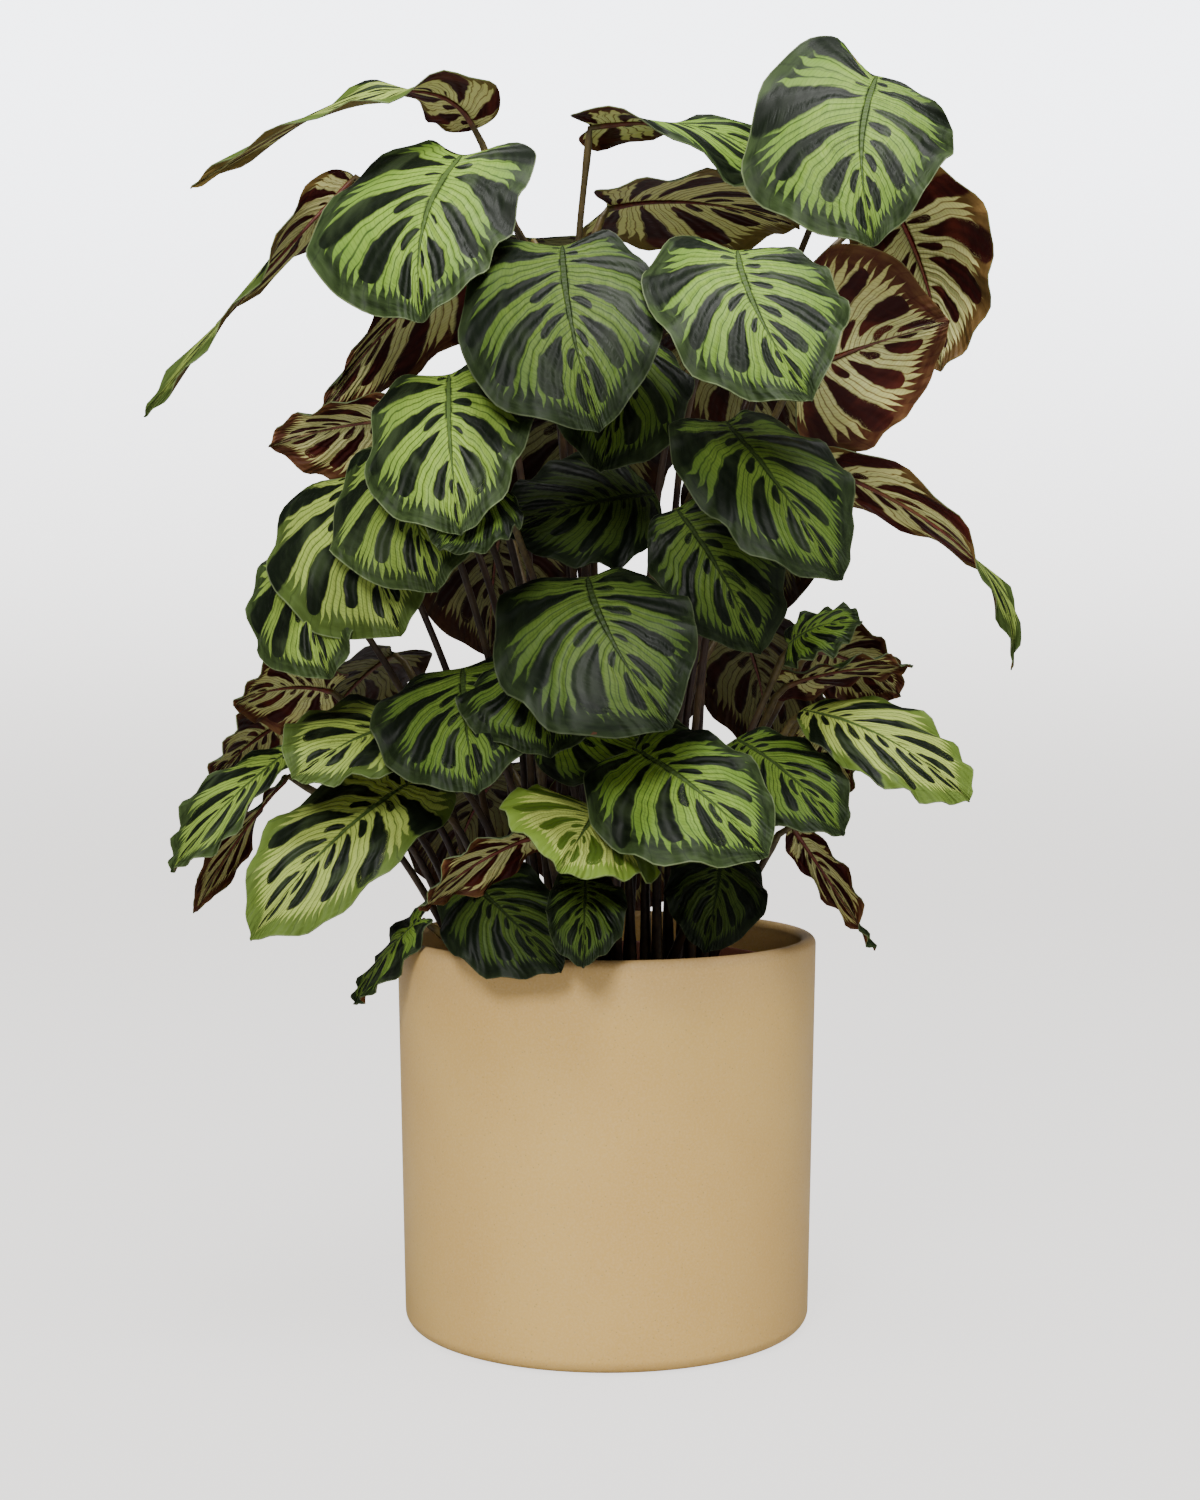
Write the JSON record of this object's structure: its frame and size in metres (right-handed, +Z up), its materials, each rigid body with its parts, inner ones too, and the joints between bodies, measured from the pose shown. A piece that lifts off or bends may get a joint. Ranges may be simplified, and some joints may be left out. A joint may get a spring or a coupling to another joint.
{
  "type": "potted peacock plant",
  "caption": "Bushy foliage house plant with broad patterned leaves on upright stalks, in a plain round cover pot that stands on a flat surface.",
  "frame": {"origin": "middle of the cover pot's underside", "axes": "+Z up along the pot's axis; the plant's best side faces -Y, +X to the right of a viewer in front"},
  "size_m": [0.5167, 0.326, 0.766],
  "materials": {
    "pot": null,
    "nursery_pot": "thin brown plastic",
    "soil": null,
    "leaf": null
  },
  "bodies": {
    "root": {"cover_pot": "pot", "nursery_pot": "nursery_pot", "soil": "soil", "leaf_01": "leaf", "leaf_02": "leaf", "leaf_03": "leaf", "leaf_04": "leaf", "leaf_05": "leaf", "leaf_06": "leaf", "leaf_07": "leaf", "leaf_08": "leaf", "leaf_09": "leaf", "leaf_10": "leaf", "leaf_11": "leaf", "leaf_12": "leaf", "leaf_13": "leaf", "leaf_14": "leaf", "leaf_15": "leaf", "leaf_16": "leaf", "leaf_17": "leaf", "leaf_18": "leaf", "leaf_19": "leaf", "leaf_20": "leaf", "leaf_21": "leaf", "leaf_22": "leaf", "leaf_23": "leaf", "leaf_24": "leaf", "leaf_25": "leaf", "leaf_26": "leaf", "leaf_27": "leaf", "leaf_28": "leaf", "leaf_29": "leaf", "leaf_30": "leaf", "leaf_31": "leaf", "leaf_32": "leaf", "leaf_33": "leaf", "leaf_34": "leaf", "leaf_35": "leaf", "leaf_36": "leaf", "leaf_37": "leaf", "leaf_38": "leaf", "leaf_39": "leaf", "leaf_40": "leaf", "leaf_41": "leaf", "leaf_42": "leaf", "leaf_43": "leaf", "leaf_44": "leaf", "leaf_45": "leaf", "leaf_46": "leaf", "leaf_47": "leaf", "leaf_48": "leaf", "leaf_49": "leaf", "leaf_50": "leaf", "leaf_51": "leaf", "leaf_52": "leaf", "leaf_53": "leaf", "leaf_54": "leaf", "leaf_55": "leaf", "leaf_56": "leaf", "leaf_57": "leaf"}
  },
  "joints": []
}
